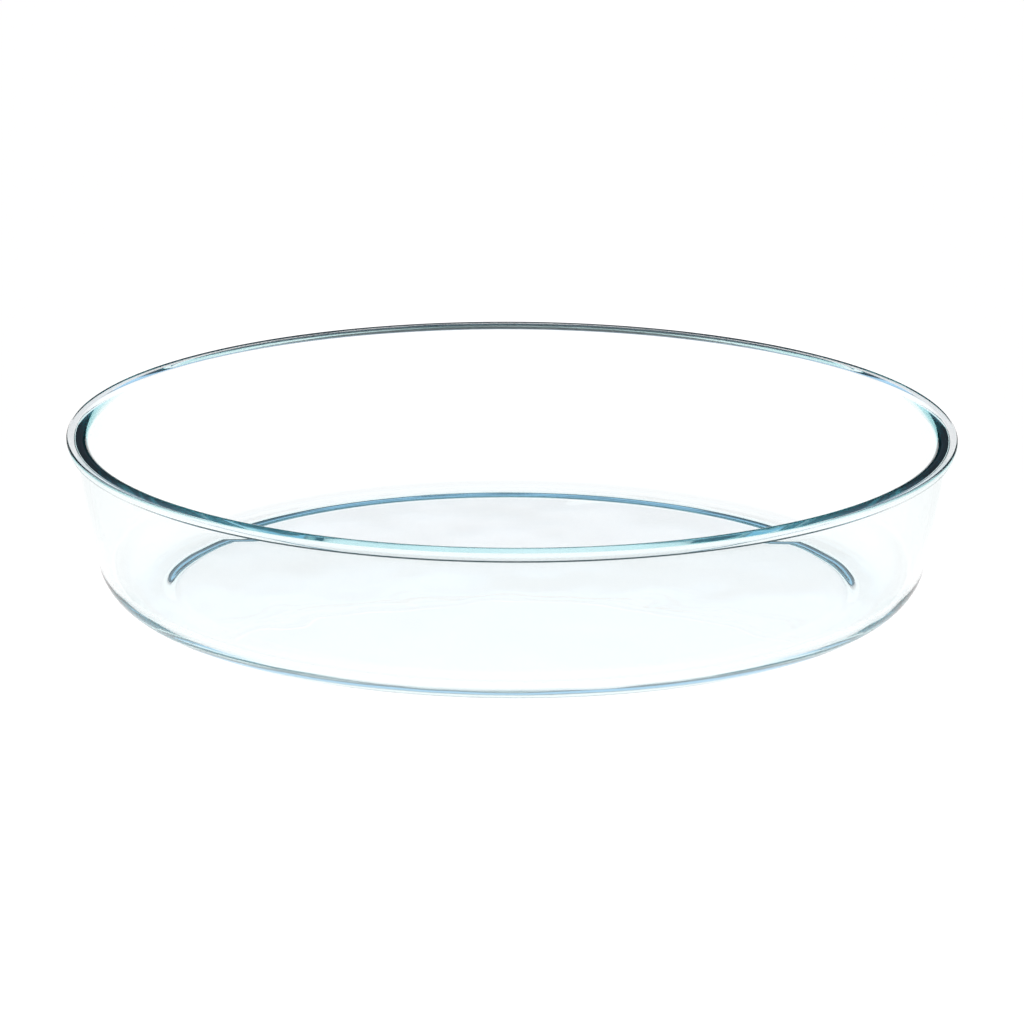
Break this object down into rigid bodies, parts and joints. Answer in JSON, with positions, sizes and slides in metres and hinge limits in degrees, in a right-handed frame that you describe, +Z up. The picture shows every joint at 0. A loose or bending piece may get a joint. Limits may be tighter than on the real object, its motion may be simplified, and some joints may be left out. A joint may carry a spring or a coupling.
{
  "type": "oval glass baking dish",
  "caption": "Oval baking dish of clear pressed glass with a lip standing out all round, a slightly leaning wall, a round heel and a flat floor on a low foot ring.",
  "frame": {"origin": "centre of the dish on the plane that its foot ring stands on", "axes": "+X along the length, +Y across the width, +Z up through the open top"},
  "size_m": [0.3, 0.212, 0.06],
  "materials": {
    "glass": "clear pressed glass with a faint blue-green tint, fire polished and glossy"
  },
  "bodies": {
    "root": {"baking_dish": "glass"}
  },
  "joints": []
}
